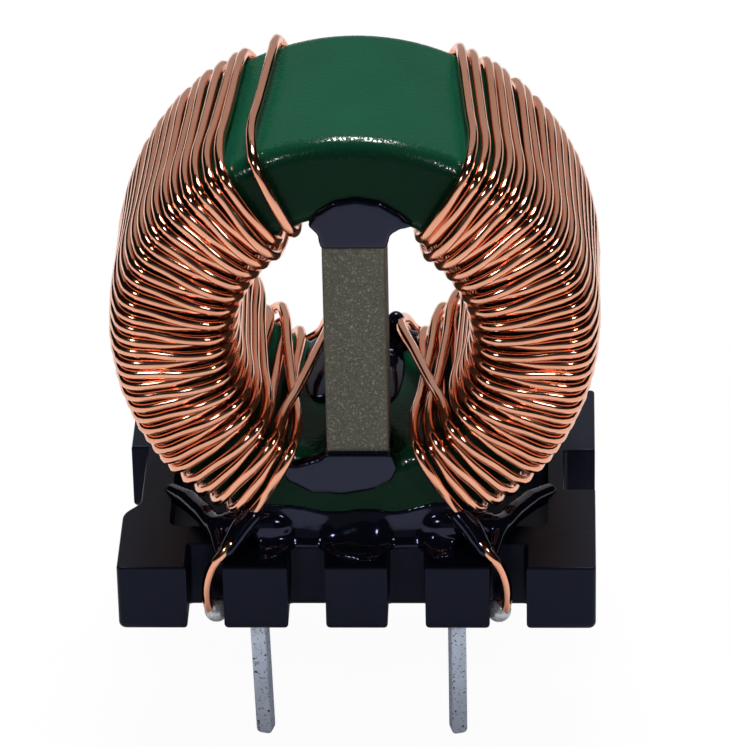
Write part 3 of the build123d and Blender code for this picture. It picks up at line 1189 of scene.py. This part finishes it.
@dataclass
class Studio:
    """The pale floor, the soft light and the camera."""

    floor_height: float
    floor_size: float = 4.0
    camera_white: float = 0.965
    floor_seen: float = 0.86
    floor_lit: float = 0.8
    room_light: float = 0.008
    room_tint: tuple[float, float, float, float] = (0.9, 0.95, 1.0, 1.0)
    lamps: tuple[Lamp, ...] = (
        Lamp("key_lamp", (0.02, 0.17, 0.54), 0.22, 3.4),
        Lamp("backdrop_lamp", (0.0, 0.62, 0.3), 0.72, 0.68),
        Lamp("front_lamp", (0.0, -0.6, 0.1), 0.4, 0.05),
        Lamp("right_lamp", (0.34, -0.42, 0.42), 0.09, 0.8),
        Lamp("left_lamp", (-0.34, -0.42, 0.42), 0.09, 0.8),
    )

    def make_floor(self) -> bpy.types.Object:
        """Lay a pale floor that keeps the shadow and shows nearly white to the camera.

        Returns:
            The floor's mesh object.
        """
        half = self.floor_size / 2
        mesh = bpy.data.meshes.new("floor")
        corners = [(-half, -half), (half, -half), (half, half), (-half, half)]
        mesh.from_pydata([(x, y, self.floor_height) for x, y in corners], [], [(0, 1, 2, 3)])
        floor = bpy.data.objects.new("floor", mesh)
        bpy.context.scene.collection.objects.link(floor)
        material = bpy.data.materials.new("pale_floor")
        material.use_nodes = True
        tree = material.node_tree
        tree.nodes.clear()
        matt = tree.nodes.new("ShaderNodeBsdfDiffuse")
        shade = tree.nodes.new("ShaderNodeMapRange")
        shade.inputs["To Min"].default_value = self.floor_lit
        shade.inputs["To Max"].default_value = self.floor_seen
        glow = tree.nodes.new("ShaderNodeEmission")
        glow.inputs["Color"].default_value = (1.0, 1.0, 1.0, 1.0)
        path = tree.nodes.new("ShaderNodeLightPath")
        seen = tree.nodes.new("ShaderNodeMath")
        seen.operation = "MULTIPLY"
        seen.inputs[1].default_value = self.camera_white
        mix = tree.nodes.new("ShaderNodeMixShader")
        output = tree.nodes.new("ShaderNodeOutputMaterial")
        tree.links.new(path.outputs["Is Camera Ray"], shade.inputs["Value"])
        tree.links.new(shade.outputs["Result"], matt.inputs["Color"])
        tree.links.new(path.outputs["Is Camera Ray"], seen.inputs[0])
        tree.links.new(seen.outputs["Value"], mix.inputs["Fac"])
        tree.links.new(matt.outputs["BSDF"], mix.inputs[1])
        tree.links.new(glow.outputs["Emission"], mix.inputs[2])
        tree.links.new(mix.outputs["Shader"], output.inputs["Surface"])
        mesh.materials.append(material)
        floor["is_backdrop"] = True
        return floor

    def make_world(self) -> None:
        """Make the room white to the camera and dim to reflections, which keeps the wires' dark halves."""
        world = bpy.data.worlds.new("room")
        bpy.context.scene.world = world
        world.use_nodes = True
        tree = world.node_tree
        tree.nodes.clear()
        dim = tree.nodes.new("ShaderNodeBackground")
        dim.inputs["Color"].default_value = self.room_tint
        dim.inputs["Strength"].default_value = self.room_light
        white = tree.nodes.new("ShaderNodeBackground")
        white.inputs["Color"].default_value = (1.0, 1.0, 1.0, 1.0)
        path = tree.nodes.new("ShaderNodeLightPath")
        mix = tree.nodes.new("ShaderNodeMixShader")
        output = tree.nodes.new("ShaderNodeOutputWorld")
        tree.links.new(path.outputs["Is Camera Ray"], mix.inputs["Fac"])
        tree.links.new(dim.outputs["Background"], mix.inputs[1])
        tree.links.new(white.outputs["Background"], mix.inputs[2])
        tree.links.new(mix.outputs["Shader"], output.inputs["Surface"])

    def make_camera(self) -> None:
        """Place the camera as it was fitted to the photograph."""
        azimuth = math.radians(CAMERA_AZIMUTH)
        elevation = math.radians(CAMERA_ELEVATION)
        roll = math.radians(CAMERA_ROLL)
        ahead = Vector((math.sin(azimuth) * math.cos(elevation),
                        math.cos(azimuth) * math.cos(elevation),
                        -math.sin(elevation)))
        level = Vector((math.cos(azimuth), -math.sin(azimuth), 0.0))
        above = level.cross(ahead)
        right = level * math.cos(roll) + above * math.sin(roll)
        up = above * math.cos(roll) - level * math.sin(roll)
        data = bpy.data.cameras.new("camera")
        data.sensor_width = SENSOR
        data.lens = FOCAL_PIXELS * SENSOR / max(IMAGE_WIDTH, IMAGE_HEIGHT)
        data.clip_start = 0.01
        camera = bpy.data.objects.new("camera", data)
        turn = Matrix((right, up, -ahead)).transposed().to_4x4()
        camera.matrix_world = Matrix.Translation(Vector(CAMERA_PLACE) * MM) @ turn
        bpy.context.scene.collection.objects.link(camera)
        bpy.context.scene.camera = camera

    def build(self, target: Vector) -> None:
        """Set up the whole studio.

        Args:
            target: The point that the lamps light, in metres.
        """
        self.make_floor()
        self.make_world()
        self.make_camera()
        for lamp in self.lamps:
            lamp.build(target)
        bpy.context.scene.view_settings.view_transform = "Standard"


def dress(node: str, material: bpy.types.Material) -> None:
    """Give a carried-over node its finish.

    Args:
        node: The node's name.
        material: The finish.
    """
    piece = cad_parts[node]
    piece.data.materials.clear()
    piece.data.materials.append(material)
    LOG.info("%s: dressed in %s", node, material.name)


def dress_nodes(effects: EffectGroups) -> None:
    """Dress every node that keeps its own shape, and the pin that leans.

    Args:
        effects: The shared surface effects.
    """
    pin = TinFinish().make(effects)
    solder = TinFinish(
        name="solder", metal=(214, 216, 222), shade=(176, 178, 186), pit=(110, 112, 118),
        roughness=0.26, pit_level=0.68).make(effects)
    dress("base", PlasticFinish().make(effects))
    dress("core_coating", CoatingFinish().make(effects))
    dress("ferrite_ring", BarFinish().make(effects))
    dress("ferrite_bar", BarFinish().make(effects))
    for row in ("front", "rear"):
        for column in ("left", "right"):
            if (row, column) == ("front", "left"):
                LeaningPin("front_left_pin", lean=1.5).build(pin)
            else:
                dress(f"{row}_{column}_pin", pin)
            dress(f"{row}_{column}_solder", solder)


def build_windings(effects: EffectGroups) -> None:
    """Draw both windings.

    Args:
        effects: The shared surface effects.
    """
    core = CoreSizes.from_frame(BORE_RADIUS)
    drawer = WireDrawer()
    copper = CopperFinish().make(effects)
    left = Winding("left_winding", Side.LEFT, lone_turn=23.7, first_turn=32.5, seed=11)
    right = Winding("right_winding", Side.RIGHT, lone_turn=30.0, first_turn=33.7, seed=23,
                    cross_turn=4, cross_rear=159.0)
    for winding in (left, right):
        winding.build(core, drawer, copper)


def build_epoxy(effects: EffectGroups) -> None:
    """Pour every body of epoxy.

    Args:
        effects: The shared surface effects.
    """
    core = CoreSizes.from_frame(BORE_RADIUS)
    finish = EpoxyFinish().make(effects)
    bodies = (
        upper_bead(core),
        lower_bead(core),
        cradle("front_cradle_glue", End.FRONT, core),
        cradle("rear_cradle_glue", End.REAR, core),
        side_web("left_side_glue", Side.LEFT),
        side_web("right_side_glue", Side.RIGHT),
    )
    for body in bodies:
        body.build(finish)


def main() -> None:
    """Build the dressed choke and its studio, which takes its floor and aim from the parts' box."""
    logging.basicConfig(level=logging.INFO, format="%(name)s: %(message)s")
    cad_low, cad_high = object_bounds()
    effects = EffectGroups()
    dress_nodes(effects)
    build_windings(effects)
    build_epoxy(effects)
    Studio(cad_low[2]).build((cad_low + cad_high) / 2)
    LOG.info("boxes written")


if __name__ == "__main__":
    main()
